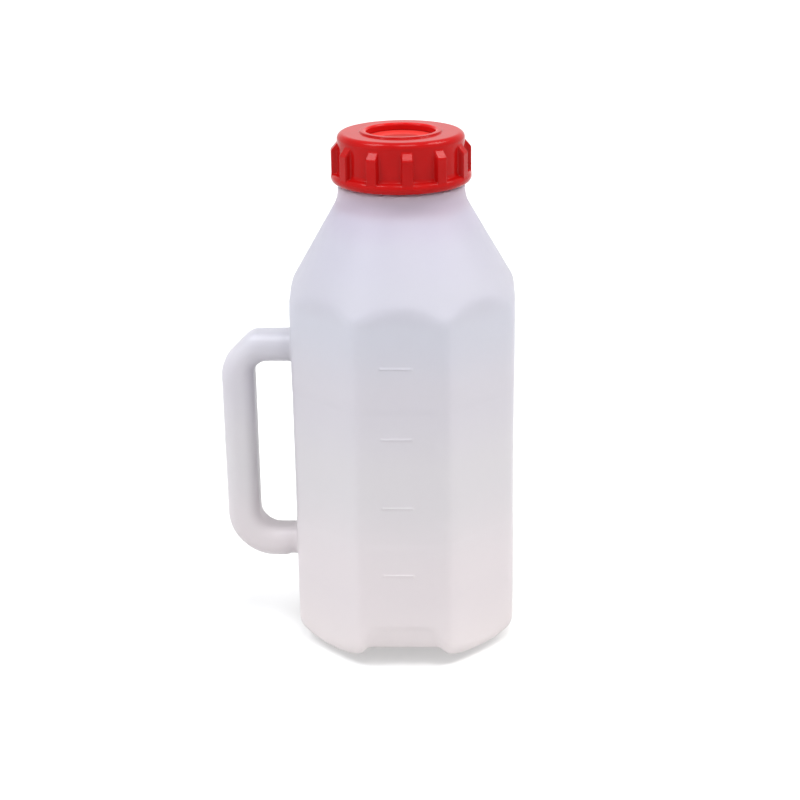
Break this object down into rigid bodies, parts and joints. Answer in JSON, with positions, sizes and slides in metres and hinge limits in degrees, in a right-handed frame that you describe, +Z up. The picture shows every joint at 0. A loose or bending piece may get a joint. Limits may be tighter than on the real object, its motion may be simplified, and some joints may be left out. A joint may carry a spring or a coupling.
{
  "type": "calf feeding bottle",
  "caption": "Translucent octagonal milk bottle with a moulded side handle, closed by a red ribbed screw cap over a sealing disc and a stored rubber teat.",
  "frame": {"origin": "on the bottle's axis, in the plane that its foot stands on", "axes": "+Z up along the bottle's axis, handle towards -X, graduated face towards -Y"},
  "size_m": [0.1677, 0.1265, 0.2991],
  "materials": {
    "natural_hdpe": "satin",
    "red_cap_plastic": "gloss",
    "red_disc_plastic": "gloss",
    "teat_rubber": "satin"
  },
  "bodies": {
    "bottle_body": {"bottle": "natural_hdpe"},
    "closure": {"sealing_disc": "red_disc_plastic", "teat": "teat_rubber"},
    "cap": {"screw_cap": "red_cap_plastic"}
  },
  "joints": [
    {"name": "cap_lift", "type": "slide", "parent": "bottle_body", "child": "closure", "axis": [0, 0, 1], "range_m": [0, 0.0078]},
    {"name": "cap_turn", "type": "hinge", "parent": "closure", "child": "cap", "pos_m": [0, 0, 0.283], "axis": [0, 0, 1], "range_deg": [0, 560]}
  ],
  "couplings": [
    {"joint": "cap_lift", "follows": "cap_turn", "m_per_rad": 0.00079577}
  ]
}
